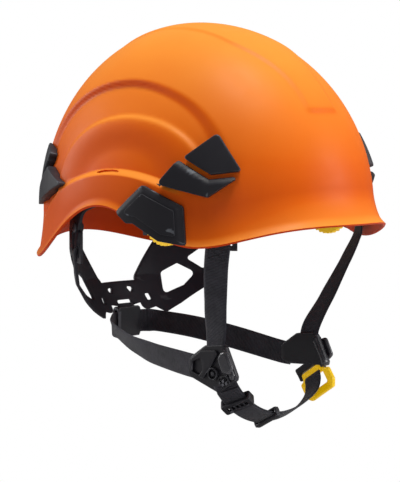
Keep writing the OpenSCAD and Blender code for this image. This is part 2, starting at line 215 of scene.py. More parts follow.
def plate(name, outline, holes, low, high, place, finish, bevel=0.5, cell=3.0, sharp=40, twin=False):
    """A bevelled plate cut to an outline with holes, then laid on a surface by place(x, y, height).

    It is first cut into cells, so that it can bend. A twin is built as one half and mirrored.
    """
    curve = bpy.data.curves.new(name, "CURVE")
    curve.dimensions, curve.fill_mode = "2D", "BOTH"
    curve.extrude = (high - low) / 2 - bevel
    curve.bevel_depth, curve.bevel_resolution, curve.offset = bevel, 2, -bevel
    for ring in [outline, *holes]:
        spline = curve.splines.new("POLY")
        spline.points.add(len(ring) - 1)
        for point, (x, y) in zip(spline.points, ring):
            point.co = (x, y, 0, 1)
        spline.use_cyclic_u = True
    holder = bpy.data.objects.new(name, curve)
    bpy.context.scene.collection.objects.link(holder)
    graph = bpy.context.evaluated_depsgraph_get()
    mesh = bpy.data.meshes.new_from_object(holder.evaluated_get(graph))
    bpy.data.objects.remove(holder)
    bm = bmesh.new()
    bm.from_mesh(mesh)
    bmesh.ops.remove_doubles(bm, verts=bm.verts, dist=WELD)
    if twin:
        mirror_right_half(bm)
    for axis in (0, 1):
        values = [v.co[axis] for v in bm.verts]
        for k in range(math.ceil(min(values) / cell), math.floor(max(values) / cell) + 1):
            at = Vector((0, 0, 0))
            at[axis] = k * cell + OFF_CORNERS
            normal = Vector((0, 0, 0))
            normal[axis] = 1
            bmesh.ops.bisect_plane(bm, geom=everything(bm), plane_co=at, plane_no=normal, dist=1e-4)
    co = np.array([v.co for v in bm.verts])
    moved = place(co[:, 0], co[:, 1], co[:, 2] + (low + high) / 2) * MM
    for v, q in zip(bm.verts, moved):
        v.co = q
    bm.to_mesh(mesh)
    bm.free()
    return finished(name, mesh, finish, sharp)


def stack(x, y, z):
    """Points from their three coordinates, any of which may be one number for all."""
    return np.stack(np.broadcast_arrays(x, y, z), -1).astype(float)


def flipped(place):
    """The same placing for the wearer's left side."""
    return lambda x, y, h: place(x, y, h) * (-1, 1, 1)


class Ribbon:
    """Webbing through stations of (centre, width direction, face direction), in millimetres."""

    def __init__(self, stations, width, thick, step=1.0):
        self.width, self.thick = width, thick
        c, w, f = (np.array([s[k] for s in stations], float) for k in range(3))
        padded = np.vstack([2 * c[0] - c[1], c, 2 * c[-1] - c[-2]])
        rows = []
        for k in range(len(c) - 1):
            p0, p1, p2, p3 = padded[k:k + 4]
            n = max(2, int(np.linalg.norm(p2 - p1) / step))
            for i in range(n + (k == len(c) - 2)):
                t = i / n
                q = 0.5 * (2 * p1 + (p2 - p0) * t + (2 * p0 - 5 * p1 + 4 * p2 - p3) * t ** 2
                           + (3 * p1 - p0 - 3 * p2 + p3) * t ** 3)
                s = t * t * (3 - 2 * t)
                rows.append((q, w[k] + (w[k + 1] - w[k]) * s, f[k] + (f[k + 1] - f[k]) * s))
        self.c = np.array([r[0] for r in rows])
        tangent = np.gradient(self.c, axis=0)
        tangent /= np.linalg.norm(tangent, axis=1)[:, None]
        side = np.array([r[1] for r in rows])
        side -= tangent * (side * tangent).sum(1)[:, None]
        self.w = side / np.linalg.norm(side, axis=1)[:, None]
        face = np.array([r[2] for r in rows])
        self.f = np.cross(tangent, self.w)
        self.f *= np.sign((self.f * face).sum(1))[:, None]
        self.s = np.concatenate([[0], np.cumsum(np.linalg.norm(np.diff(self.c, axis=0), axis=1))])

    def at(self, s, across, lift):
        """Points at a length, a place across and a height over the face."""
        centre, wide, face = (np.stack([np.interp(s, self.s, v[:, k]) for k in range(3)], -1)
                              for v in (self.c, self.w, self.f))
        return centre + wide * np.asarray(across)[..., None] + face * np.asarray(lift)[..., None]

    def build(self, name, finish):
        """The tape itself; its section is a flat oval with tight edges."""
        half = np.linspace(-1, 1, 15)
        half = np.sign(half) * np.abs(half) ** 0.8
        rise = np.sqrt(np.clip(1 - np.abs(half) ** 14, 0, 1))
        x = np.concatenate([half, half[::-1][1:-1]]) * self.width / 2
        h = np.concatenate([rise, -rise[::-1][1:-1]]) * self.thick / 2
        ring, rows = len(x), len(self.s)
        wide, thick = self.w[:, None] * x[None, :, None], self.f[:, None] * h[None, :, None]
        pts = (self.c[:, None] + wide + thick).reshape(-1, 3)
        numbers = {"along": np.repeat(self.s, ring), "across": np.tile(x, rows)}
        return mesh_piece(name, pts, tube(rows, ring), finish, 60, numbers)

    def stitches(self, name, runs, finish, pitch=2.4, radius=0.28, lift=None):
        """Rows of thread on the face; a run is (length, across) to (length, across)."""
        lift = self.thick / 2 + 0.05 if lift is None else lift
        pts, faces = [], []
        ring, arcs = 6, 5
        for a, b in runs:
            a, b = np.array(a, float), np.array(b, float)
            count = max(1, int(np.linalg.norm(b - a) / pitch))
            for k in range(count):
                u = a + (b - a) * np.linspace((k + 0.1) / count, (k + 0.9) / count, arcs)[:, None]
                bow = np.sin(np.linspace(0, np.pi, arcs))
                mid = self.at(u[:, 0], u[:, 1], lift + radius * 0.9 * bow)
                t = np.gradient(mid, axis=0)
                t /= np.linalg.norm(t, axis=1)[:, None]
                base = self.at(u[:, 0], u[:, 1], lift + 0 * bow)
                normal = self.at(u[:, 0], u[:, 1], lift + 1.0 + 0 * bow) - base
                cross = np.cross(t, normal)
                start = len(pts)
                for i in range(arcs):
                    for j in range(ring):
                        g = 2 * math.pi * j / ring
                        r = radius * (0.45 + 0.55 * bow[i])
                        pts.append(mid[i] + r * (math.cos(g) * normal[i] + math.sin(g) * cross[i]))
                faces += tube(arcs, ring, start)
        return mesh_piece(name, pts, faces, finish, 80)


# -------- finishes
class Finish:
    """A Principled material with small helpers for its nodes."""

    def __init__(self, name, colour, rough, **sockets):
        self.mat = bpy.data.materials.new(name)
        self.mat.use_nodes = True
        self.tree = self.mat.node_tree
        self.bsdf = self.tree.nodes["Principled BSDF"]
        self.bsdf.inputs["Base Color"].default_value = (*colour, 1)
        self.bsdf.inputs["Roughness"].default_value = rough
        for key, value in sockets.items():
            self.bsdf.inputs[key.replace("_", " ")].default_value = value
        self.coords = self.add("ShaderNodeTexCoord").outputs["Object"]

    def add(self, kind, links=None, **values):
        node = self.tree.nodes.new(kind)
        for key, value in values.items():
            if hasattr(node, key):
                setattr(node, key, value)
            else:
                node.inputs[key.replace("_", " ")].default_value = value
        for key, source in (links or {}).items():
            self.tree.links.new(source, node.inputs[key])
        return node

    def noise(self, scale, detail=3.0, stretch=None):
        source = self.coords
        if stretch:
            source = self.add("ShaderNodeMapping", {"Vector": source}, Scale=stretch).outputs[0]
        return self.add("ShaderNodeTexNoise", {"Vector": source}, Scale=scale, Detail=detail).outputs["Fac"]

    def span(self, source, low, high, out_low, out_high):
        return self.add("ShaderNodeMapRange", {"Value": source}, From_Min=low, From_Max=high, To_Min=out_low,
                        To_Max=out_high).outputs[0]

    def math(self, operation, a, b=None, value=None):
        node = self.add("ShaderNodeMath", {0: a}, operation=operation)
        if b is not None:
            self.tree.links.new(b, node.inputs[1])
        elif value is not None:
            node.inputs[1].default_value = value
        return node.outputs[0]

    def mix(self, factor, a, b):
        """A colour between a and b, each a colour or another node's output."""
        node = self.add("ShaderNodeMix", {"Factor": factor}, data_type="RGBA")
        for key, value in ((6, a), (7, b)):
            if isinstance(value, tuple):
                node.inputs[key].default_value = (*value, 1)
            else:
                self.tree.links.new(value, node.inputs[key])
        return node.outputs[2]

    def bump(self, height, depth, strength=1.0, under=None):
        links = {"Height": height}
        if under is not None:
            links["Normal"] = under
        return self.add("ShaderNodeBump", links, Distance=depth, Strength=strength).outputs[0]

    def wire(self, colour=None, rough=None, normal=None):
        for key, source in (("Base Color", colour), ("Roughness", rough), ("Normal", normal)):
            if source is not None:
                self.tree.links.new(source, self.bsdf.inputs[key])
        return self.mat


def tone(colour, k):
    """The colour made k times as bright."""
    return tuple(min(1.0, c * k) for c in colour)


def plastic(name, colour, rough, grain=1500, grain_depth=0.00003, edge=None, swirl=0.1, **sockets):
    """Moulded plastic: slight shifts of tone and gloss, a fine skin, and edges painted lighter, a painted
    highlight mixed with wear.
    """
    f = Finish(name, colour, rough, **{"Specular_IOR_Level": 0.3, **sockets})
    shade = f.mix(f.noise(22, 4), tone(colour, 1 - swirl), tone(colour, 1 + swirl))
    # Sharp edges are painted lighter in patches: a painted highlight along the edges, mixed with wear.
    if edge:
        edge_highlight_and_wear = f.add("ShaderNodeNewGeometry").outputs["Pointiness"]
        edge_highlight_and_wear = f.span(edge_highlight_and_wear, *EDGE_AT, 0, 1)
        patchy = f.span(f.noise(160, 4), 0.35, 0.65, 0.45, 1.0)
        shade = f.mix(f.math("MULTIPLY", edge_highlight_and_wear, patchy), shade, edge)
    gloss = f.span(f.noise(75, 5), 0.3, 0.7, max(0.03, rough - 0.05), rough + 0.07)
    return f.wire(shade, gloss, f.bump(f.noise(grain, 2), grain_depth, 0.6))


def webbing(name, colour, rib=1.15, depth=0.00022):
    """Woven tape: raised crosswise ribs with painted shade in their grooves and a painted highlight on their
    crests, yarns along its length, dense edges and a soft nap.
    """
    f = Finish(name, colour, 0.78, Sheen_Weight=0.25, Sheen_Roughness=0.45, Specular_IOR_Level=0.35)
    along = f.add("ShaderNodeAttribute", attribute_name="along").outputs["Fac"]
    across = f.add("ShaderNodeAttribute", attribute_name="across").outputs["Fac"]
    wobble = f.span(f.noise(420, 2), 0.3, 0.7, -0.16, 0.16)
    turn = f.math("MULTIPLY", f.math("ADD", along, wobble), value=2 * math.pi / rib)
    ribs = f.span(f.math("SINE", turn), -1, 1, 0, 1)
    yarns = f.span(f.math("SINE", f.math("MULTIPLY", across, value=2 * math.pi / 0.85)), -1, 1, 0, 1)
    weave = f.math("ADD", ribs, f.math("MULTIPLY", yarns, value=0.35))
    border = f.span(f.math("ABSOLUTE", across), 7.0, 8.0, 0, 1)
    # Painted shade in the grooves between the ribs and a painted highlight on their crests.
    shade = f.mix(ribs, tone(colour, 0.45), tone(colour, 1.65))
    shade = f.mix(f.span(f.noise(60, 5), 0.35, 0.65, 0, 0.5), shade, tone(colour, 2.1))
    shade = f.mix(f.math("MULTIPLY", border, value=0.45), shade, tone(colour, 2.6))
    fuzz = f.bump(f.noise(3200, 2), 0.00006, 0.5)
    return f.wire(shade, f.span(f.noise(300, 3), 0.3, 0.7, 0.68, 0.9), f.bump(weave, depth, 0.9, fuzz))


def knitted(name, colour):
    """Brushed knit over foam: small cells, a light nap and slow changes of tone."""
    f = Finish(name, colour, 0.9, Sheen_Weight=0.4, Sheen_Roughness=0.5)
    cells = f.add("ShaderNodeTexVoronoi", {"Vector": f.coords}, Scale=620).outputs["Distance"]
    shade = f.mix(f.span(cells, 0, 0.7, 0, 1), tone(colour, 1.8), tone(colour, 0.5))
    shade = f.mix(f.span(f.noise(35, 4), 0.3, 0.7, 0, 0.4), shade, tone(colour, 2.2))
    return f.wire(shade, f.span(f.noise(200, 3), 0.3, 0.7, 0.82, 0.97), f.bump(cells, 0.0003, 0.8))


def shell_plastic():
    """Orange shell: painted light where it faces up, so paler there, and painted shade where it faces down,
    so deeper there, with a fine moulded skin.
    """
    f = Finish("shell_orange", ORANGE, 0.42, Specular_IOR_Level=0.1)
    normal = f.add("ShaderNodeNewGeometry").outputs["Normal"]
    up = f.add("ShaderNodeSeparateXYZ", {"Vector": normal}).outputs["Z"]
    # Painted light and shade: the colour turns paler and yellower where the surface faces up and redder
    # where it faces down.
    shade = f.mix(f.span(up, -0.25, 0.3, 0, 1), (0.72, 0.055, 0.003), (0.88, 0.150, 0.006))
    shade = f.mix(f.span(up, 0.25, 0.95, 0, 1), shade, (0.92, 0.335, 0.045))
    shade = f.mix(f.span(f.noise(22, 4), 0.3, 0.7, 0, 0.12), shade, (0.80, 0.11, 0.008))
    gloss = f.span(f.noise(60, 5), 0.3, 0.7, 0.38, 0.48)
    return f.wire(shade, gloss, f.bump(f.noise(1100, 2), 0.00002, 0.6))


shell_finish = shell_plastic()
# The edge colours below are painted edge highlights mixed with wear; the rib's is the lightest.
clip_finish = plastic("clip_black", BLACK, 0.5, edge=(0.11, 0.12, 0.14), swirl=0.2)
cover_finish = plastic("cover_black", BLACK, 0.52, edge=(0.12, 0.13, 0.15), swirl=0.2)
band_finish = plastic("band_black", tone(BLACK, 1.7), 0.46, grain=900, edge=(0.06, 0.06, 0.07), swirl=0.25)
hard_finish = plastic("hardware_black", BLACK, 0.38, edge=(0.13, 0.13, 0.15), swirl=0.2)
rib_finish = plastic("rib_black", tone(BLACK, 1.5), 0.24, edge=(0.2, 0.2, 0.22), swirl=0.15,
                     Specular_IOR_Level=0.6)
anchor_finish = plastic("anchor_black", BLACK, 0.55, edge=(0.06, 0.06, 0.07), swirl=0.2)
# The two yellow finishes below carry a painted glow through their emission.
wheel_finish = plastic("wheel_yellow", YELLOW, 0.35, edge=(1.0, 0.78, 0.1), swirl=0.05,
                       Emission_Strength=0.3, Emission_Color=PAINTED_GLOW)
buckle_finish = plastic("buckle_yellow", YELLOW, 0.3, edge=(1.0, 0.8, 0.15), swirl=0.05,
                        Emission_Strength=0.3, Emission_Color=PAINTED_GLOW)
web_finish = webbing("webbing_black", WEB)
crown_finish = webbing("webbing_crown", tone(WEB, 1.15), rib=1.0, depth=0.00016)
thread_finish = plastic("thread_dark", (0.045, 0.043, 0.05), 0.7, grain=4000, grain_depth=0.00004)
foam_finish = knitted("foam_knit", FOAM)

# -------- shell
DOME_FRONT, DOME_REAR, DOME_SIDE, DOME_H = 138, 119.5, 106.5, 132.5
FULL = 2.06  # 2 makes the plan an ellipse, more makes it squarer
WALL = 3
RIM = [(0, -7.5), (48, -21.5), (87, 4.5), (137, -36), (180, -22)]  # degrees from the front, height


def rho(p):
    """How far the dome reaches at its base, at an angle from the front."""
    c = np.cos(p)
    a = np.where(c > 0, DOME_FRONT, DOME_REAR)
    return ((np.abs(np.sin(p)) / DOME_SIDE) ** FULL + (np.abs(c) / a) ** FULL) ** (-1 / FULL)


def rim(p):
    """Height of the rim at an angle from the front."""
    a = np.degrees(np.abs((p + np.pi) % (2 * np.pi) - np.pi))
    out = np.zeros_like(a)
    for k in range(len(RIM) - 1):
        (a0, z0), (a1, z1) = RIM[k], RIM[k + 1]
        t = np.clip((a - a0) / (a1 - a0), 0, 1)
        if k == 0:
            t = t ** 1.6
        out = np.where((a >= a0) & (a <= a1), z0 + (z1 - z0) * (1 - np.cos(np.pi * t)) / 2, out)
    return out


def flare(p, z):
    """How far the brim turns out at the front and the rear."""
    h, c = z - rim(p), np.cos(p)
    front = 9 * np.clip(1 - h / 24, 0, None) ** 2 * np.clip(c, 0, None) ** 3
    return front + 6 * np.clip(1 - h / 30, 0, None) ** 1.5 * np.clip(-c, 0, None) ** 2


def dome(p, z, d):
    """Point of the smooth dome at an angle and height, moved outwards by d."""
    zz = np.clip(z, 0, DOME_H)
    r = rho(p) * np.sqrt(1 - (zz / DOME_H) ** 2) + flare(p, z)
    q = stack(r * np.sin(p), -r * np.cos(p), z)
    n = stack(q[..., 0] / DOME_SIDE ** 2, q[..., 1] / np.where(q[..., 1] < 0, DOME_FRONT, DOME_REAR) ** 2,
              zz / DOME_H ** 2)
    return q + n / np.linalg.norm(n, axis=-1)[..., None] * np.asarray(d)[..., None]


def dome_y(p, z):
    """Only the front-to-back place of the dome, without its flare."""
    return -rho(p) * np.sqrt(np.clip(1 - (np.clip(z, 0, DOME_H) / DOME_H) ** 2, 0, 1)) * np.cos(p)


def shelf(y):
    """Height of the upper edge of the ledge under the side steps."""
    return 30.5 - (y + 13) ** 2 / 230


def relief(y, z):
    """Depth of the side steps: an outer step, a level field, a rising bevel, and a field that leans in."""
    e1 = np.hypot((y + 8) / 90, np.clip(z - 20, 0, None) / 71)
    e2 = np.hypot((y + 17) / 67, np.clip(z - 19.5, 0, None) / 47.5)
    inside_1, inside_2 = (1 - e1) * 75, (1 - e2) * 55
    width = 5.0 + 2.6 * smooth(-(y + 8) / 40) - 2.3 * smooth((z - 20) / 66)
    depth = 3.4 * ramp(inside_1 / width) + 0.4 * smooth((inside_1 - width) / 14)
    depth += -2.3 * ramp((inside_2 + 1.5) / 3.6) + 3.8 * smooth((inside_2 - 2.5) / 26)
    depth *= 1 - smooth((-y - 60) / 14) * smooth((36 - z) / 9)
    return -depth * ramp((z - shelf(y) + 5.2) / 5.2)


def slit(y, z):
    """Lens-shaped vent in the ledge."""
    s, t = (y + 7) / 11.5, (z - (shelf(y) - 2.4)) / 1.5
    return -2.2 * smooth((1 - s ** 4 - np.abs(t)) / 0.5)


def crest(x, y, z):
    """Low panel along the crown."""
    half = 28.5 - 13 * smooth((-y - 50) / 60)
    inside = np.minimum((half - np.abs(x)) / 2.2, (z - np.where(y < 0, 68, 52)) / 3)
    return 1.1 * ramp(inside) - 1.1


def lip(p, z):
    """Thickening along the rim."""
    return 1.7 * np.clip(1 - (z - rim(p)) / 5.5, 0, 1) ** 2


def make_shell():
    columns, rows, inner_rows, edge_rows = 440, 150, 46, 5
    s = np.linspace(-np.pi, np.pi, columns, endpoint=False)
    p = s + 0.2 * np.sin(2 * s)

    def level(count):
        """Rows from the rim to the top, closer together along the ledge."""
        low, high = 22, 33  # the ledge lies between these heights
        share_below, share_to_top = 0.26, 0.40  # of the rows, up to each of them
        u = np.arange(count)[:, None] / count
        near, far = rim(p)[None, :], math.asin(high / DOME_H)
        rising = near + (low - near) * (u / share_below) ** 1.25
        ledge = low + (high - low) * (u - share_below) / (share_to_top - share_below)
        over = DOME_H * np.sin(far + (math.pi / 2 - far) * (u - share_to_top) / (1 - share_to_top))
        return np.where(u < share_below, rising, np.where(u < share_to_top, ledge, over))

    z = level(rows)
    pp = np.broadcast_to(p, z.shape)
    y = dome_y(pp, z)
    x = dome(pp, z, np.zeros_like(z))[..., 0]
    outer = dome(pp, z, relief(y, z) + slit(y, z) + crest(x, y, z) + lip(pp, z))
    zi = level(inner_rows)
    pi = np.broadcast_to(p, zi.shape)
    inner = dome(pi, zi, relief(dome_y(pi, zi), zi) - WALL + lip(pi, zi) * 0.7)
    u = (np.arange(1, edge_rows + 1) / (edge_rows + 1))[:, None, None]
    edge = outer[0] * (1 - u) + inner[0] * u
    edge[..., 2] -= 1.3 * np.sqrt(1 - (2 * u[..., 0] - 1) ** 2)
    grid = np.concatenate([outer[::-1], edge, inner])
    pts = np.vstack([grid.reshape(-1, 3), [[0, 0, DOME_H]], [[0, 0, DOME_H - WALL]]])
    faces = tube(len(grid), columns, capped=False)
    top, under = len(pts) - 2, len(pts) - 1
    last = (len(grid) - 1) * columns
    faces += [(top, (j + 1) % columns, j) for j in range(columns)]
    faces += [(under, last + j, last + (j + 1) % columns) for j in range(columns)]
    return fit(mesh_piece("helmet_shell", pts, faces, shell_finish, 50), "helmet", "shell_plastic", "shell")


make_shell()

# -------- lamp clips and side covers
ARC = 1.75  # millimetres round the dome for one degree


def on_dome(x, y, h):
    """x runs round the dome, y up it, and heights below zero follow the side steps."""
    p = np.radians(x / ARC)
    sunk = relief(dome_y(p, y), y)
    return dome(p, y, np.where(h < 0, h + sunk, h))


def around(points):
    """Corners given as degrees from the front, turned into millimetres round the dome."""
    return [(q[0] * ARC, *q[1:]) for q in points]


HOOK_FRONT = [(-52, 37.3), (-40.3, 53.6, 2.5), (-33.6, 28.6), (-43, 26.2)]
BASE_FRONT = [(-53.6, 35.6), (-61, 19.6, 2.5), (-44, 11.2), (-34, 25.4), (-43.6, 23.2)]
HOOK_REAR = [(-127.5, 38.5), (-136, 46, 3), (-150, 18), (-141, 15.4), (-128.5, 33)]
BASE_REAR = [(-127, 29.5), (-109.5, 17.6), (-139, 0.5), (-151, 10), (-142, 11.5)]
COVER = [(-67, 19.2, 3), (-78, 0.7), (-73.1, -7), (-70, -7.1), (-60.3, -18.3), (-51, -21), (-52, 5.3, 3)]


def chamfered(place, edge, reach, drop):
    """Lowers the top of a plate towards an edge of its outline, given as a row of corners."""
    edge = np.array([q[:2] for q in edge], float)

    def lowered(x, y, h):
        q = np.stack([x, y], -1)
        far = np.full(len(x), 99.0)
        for a, b in zip(edge[:-1], edge[1:]):
            t = np.clip(((q - a) @ (b - a)) / ((b - a) @ (b - a)), 0, 1)
            far = np.minimum(far, np.linalg.norm(q - a - t[:, None] * (b - a), axis=1))
        return place(x, y, np.where(h > 0, h - drop * np.clip(1 - far / reach, 0, 1), h))
    return lowered


def lamp_clip(tag, hook, base, top, place):
    """A hook and the base under it, whose upper edge slopes into the gap between them."""
    outline = rounded(around(hook), 1.6)
    fit(plate(f"lamp_hook_{tag}", outline, [], -1.2, top - 0.4, place, clip_finish, 0.9, 2), "helmet",
        "clip_plastic", f"clip_hook_{tag}")
    corners = around(base)
    sloped = chamfered(place, [corners[0], corners[4], corners[3]], 3.0, 2.4)
    fit(plate(f"lamp_base_{tag}", rounded(corners, 1.2), [], -1.2, top + 0.5, sloped, clip_finish, 0.5, 1.5),
        "helmet", "clip_plastic", f"clip_base_{tag}")


def side_cover(side, place):
    """A cover with sloping upper edges and a raised field."""
    corners = around(COVER)
    sloped = chamfered(place, [corners[1], corners[0], corners[6], corners[5]], 3.2, 1.6)
    fit(plate(f"side_cover_{side}", rounded(corners, 1.5), [], -1.0, 3.6, sloped, cover_finish, 0.5, 1.5),
        "helmet", "cover_plastic", f"cover_{side}")
    field = rounded(inset(corners, 5.0), 1.6)
    fit(plate(f"side_cover_step_{side}", field, [], 2.6, 4.2, place, cover_finish, 0.3, 1.5), "helmet",
        "cover_plastic")


for side, place in (("r", on_dome), ("l", flipped(on_dome))):
    lamp_clip("f" + side, HOOK_FRONT, BASE_FRONT, 4.2, place)
    lamp_clip("r" + side, HOOK_REAR, BASE_REAR, 1.9, place)
    side_cover(side, place)


# -------- textile cradle
def wall_reach(p):
    """Distance from the middle to where a crown strap ends, just inside the wall."""
    q = dome(np.array(p), np.array(13.0), -WALL)
    return math.hypot(q[0], q[1]) - (5.4 if math.cos(p) > 0.3 else 2.9)


def crown_strap(name, degrees, top):
    """Webbing over the crown, from the wall at an angle to the wall opposite."""
    p = math.radians(degrees)
    spans, foot = 20, 12
    stations = []
    for i in range(spans + 1):
        a = math.pi * i / spans
        first_half = a < math.pi / 2
        q = p if first_half else p + math.pi
        level = math.cos(a) * (top if first_half else -top)
        taper = 1 - 0.09 * float(smooth(min(a, math.pi - a) / math.radians(25)))
        r = wall_reach(q) * abs(math.cos(a)) ** 0.85 * taper
        face = (math.sin(q) * level, -math.cos(q) * level, math.sin(a) * wall_reach(q))
        middle = (r * math.sin(q), -r * math.cos(q), foot + (top - foot) * math.sin(a))
        stations.append((middle, (math.cos(p), math.sin(p), 0), face))
    tape = Ribbon(stations, 18, 1.2, 2.0)
    fit(tape.build(f"crown_tape_{name}", crown_finish), "helmet", "crown_webbing", f"crown_strap_{name}")
    end = tape.s[-1]
    runs = [((s, w), (s + 9, -w)) for s in (14, end - 23) for w in (-6, 6)]
    runs += [((s, -6), (s, 6)) for s in (14, 23, end - 23, end - 14)]
    thread = tape.stitches(f"crown_thread_{name}", runs, thread_finish, 2.2, 0.25, -0.75)
    fit(thread, "helmet", "crown_webbing")


for strap, degrees, top in (("a", -36, 109), ("b", 36, 107), ("c", 90, 105)):
    crown_strap(strap, degrees, top)


# -------- headband and brow pad
BAND_ARC = 1.6  # flat millimetres for one degree


def band_place(x, y, h):
    """x is degrees from the brow times BAND_ARC, y the height."""
    a = np.radians(x / BAND_ARC)
    bx = (79 + h) * np.sign(np.sin(a)) * np.abs(np.sin(a)) ** 0.87
    return stack(bx, -30 - (84 + h) * np.cos(a) ** 0.87, y)


def make_headband():
    """A band with long slots low down and small ones above."""
    outline = [(-115, -6), (115, -6), (115, 18), (70, 18), (55, 15), (-55, 15), (-70, 18), (-115, 18)]
    holes = [rounded(block(s * x - 6, 0.5, s * x + 6, 4.5), 2) for x in (22, 44, 88) for s in (-1, 1)]
    holes += [rounded(block(s * x - 3, 8, s * x + 3, 11.5), 1.6)
              for x in (14, 33, 52, 78, 100) for s in (-1, 1)]
    band = plate("head_band", rounded(outline, 5), holes, -1.2, 1.0, band_place, band_finish, 0.4, 3)
    fit(band, "size_band", "band_plastic", "headband")


def swell(node, name, finish, voxel, pressure, cap):
    """Inflates a copy of a CAD pad by a cloth simulation; no point moves further than cap, in metres."""
    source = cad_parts[node]
    pad = bpy.data.objects.new(name, source.data.copy())
    pad.data.materials.clear()
    pad.data.materials.append(finish)
    bpy.context.scene.collection.objects.link(pad)
    bpy.context.view_layer.objects.active = pad
    remesh = pad.modifiers.new("remesh", "REMESH")
    remesh.mode, remesh.voxel_size = "VOXEL", voxel
    bpy.ops.object.select_all(action="DESELECT")
    pad.select_set(True)
    bpy.ops.object.modifier_apply(modifier="remesh")
    start = [v.co.copy() for v in pad.data.vertices]
    cloth = pad.modifiers.new("cloth", "CLOTH")
    cloth.settings.quality = 5
    cloth.settings.use_pressure = True
    cloth.settings.uniform_pressure_force = pressure
    cloth.settings.effector_weights.gravity = 0
    cloth.settings.tension_stiffness = cloth.settings.compression_stiffness = 12
    last = 20
    cloth.point_cache.frame_start, cloth.point_cache.frame_end = 1, last
    for f in range(1, last + 1):
        bpy.context.scene.frame_set(f)
    bpy.ops.object.modifier_apply(modifier="cloth")
    bpy.context.scene.frame_set(1)
    for v, s in zip(pad.data.vertices, start):
        move = v.co - s
        if move.length > cap:
            v.co = s + move.normalized() * cap
    sub = pad.modifiers.new("sub", "SUBSURF")
    sub.levels = sub.render_levels = 1
    bpy.ops.object.modifier_apply(modifier="sub")
    for face in pad.data.polygons:
        face.use_smooth = True
    return pad


def make_brow_pad():
    """The swollen pad with upright seams pressed into it; its points are in metres."""
    pad = swell("brow_pad", "brow_cushion", foam_finish, 0.004, 4.0, 0.0012)
    middle_y, inner_face = -0.03, 0.118
    for v in pad.data.vertices:
        x, y = v.co.x, v.co.y - middle_y
        degrees = math.degrees(math.atan2(x, -y))
        seam = min(abs(abs(degrees) - k) for k in (0, 14, 28, 41))
        pull = 0.0012 * math.exp(-(seam / 0.9) ** 2)
        outwards = Vector((x, y, 0)).normalized()
        v.co += outwards * pull * (1 if abs(x) + abs(y) < inner_face else -0.3)
    fit(pad, "size_band", "comfort_foam", "brow_pad")


make_headband()
make_brow_pad()

# -------- nape frame
BOWL = [(-92, 68), (-83, 74), (-71, 81), (-57, 88.5), (-32, 93), (40, 93)]  # height, radius
SPREAD = 1.5  # flat millimetres for one degree


def bowl_radius(a, z):
    """The arms follow an oval in plan; behind the ears it turns into the round bowl."""
    arms = 1 / np.hypot(np.sin(a) / 76, np.cos(a) / 108)
    behind = smooth((np.degrees(np.abs(a)) - 88) / 30)
    return arms + (along_table(BOWL, z) - arms) * behind


def bowl_place(x, y, h):
    """x is degrees from the nape times SPREAD, positive to the wearer's left."""
    a = np.pi - np.abs(np.radians(x / SPREAD))
    r = bowl_radius(a, y) + h
    return stack(r * np.sin(a) * np.sign(x), -r * np.cos(a), y)


def spread(points):
    """Corners given as degrees from the brow become flat places beside the nape."""
    return [((180 - q[0]) * SPREAD, *q[1:]) for q in points]


def make_nape():
    """Two arms that widen into a lattice; corners are (degrees from the brow, height, own radius)."""
    low = [(66, -17), (78, -11), (90, -3), (102, 3, 9), (111, -3, 10), (117.5, -30, 14), (129, -67, 10),
           (143, -79, 12), (153, -85.5, 3), (159, -81, 3), (168, -84, 12)]
    top = [(168, -59.5, 5), (162, -46, 16), (155, -31, 8), (141, -25, 10), (129, -13, 12), (120, 2, 12),
           (111, 13, 9), (102, 17, 9), (90, 14), (78, 8), (66, 2)]
    half = spread(low + top)
    left = rounded(half, 4, 4)
    count = len(rounded(spread(low), 4, 4))
    right = [(-x, y) for x, y in reversed(left)]
    outline = left[:count] + right[len(right) - count:] + right[:len(right) - count] + left[count:]
    windows = [
        [(152.6, -56, 3), (144, -49.5), (134.6, -56.8, 3), (141, -66, 4), (152.8, -72.5, 3)],
        [(139.4, -45.6), (130, -35.4), (122.5, -34, 3), (125.5, -47, 4), (131, -53.6)],
        [(121.6, -17), (118.8, -15), (117.6, -28), (120.6, -31)],
        [(115.6, -15), (113.4, -17), (115.2, -27), (117.0, -28.6)],
        [(164.5, -71, 1), (161.6, -71.4, 1), (160.6, -76, 1), (163.2, -76, 1)],
        [(175.4, -64.8, 1), (170.4, -66, 1), (172.6, -70, 1)],
    ]
    holes = [rounded(spread(w), 1.8, 3) for w in windows]
    holes += [[(-x, y) for x, y in reversed(h)] for h in holes]
    holes.append(rounded([(-9, -74.5), (9, -74.5), (6, -79.4), (-6, -79.4)], 1.4, 3))
    lattice = plate("nape_lattice", outline, holes, -1.2, 1.2, bowl_place, band_finish, 0.55, 3, twin=True)
    fit(lattice, "nape", "band_plastic", "nape_frame")


make_nape()


def rivet_heads():
    """Rivets through the struts and the nape arms: profile rows are (outwards, radius)."""
    a, out, height = math.radians(116.5), BOWL[-1][1], -14
    profile = [(-4.6, 0.01), (-4.6, 2.9), (-4.0, 3.4), (-2.9, 3.5), (-2.9, 1.9), (1.1, 1.9), (1.1, 3.6),
               (1.9, 3.5), (2.6, 2.7), (2.9, 1.2), (2.5, 0.9), (2.4, 0.01)]
    n = 28
    for side, sign in (("r", -1), ("l", 1)):
        axis = np.array([math.sin(a) * sign, -math.cos(a), 0])
        tangent = np.array([math.cos(a) * sign, math.sin(a), 0])
        pts = []
        for h, r in profile:
            for k in range(n):
                g = 2 * math.pi * k / n
                upright = np.array([0, 0, height + r * math.sin(g)])
                pts.append(axis * (out + h) + tangent * r * math.cos(g) + upright)
        rivet = mesh_piece(f"rivet_head_{side}", pts, tube(len(profile), n), hard_finish, 30)
        fit(rivet, "nape", "band_plastic", f"rivet_{side}")


rivet_heads()

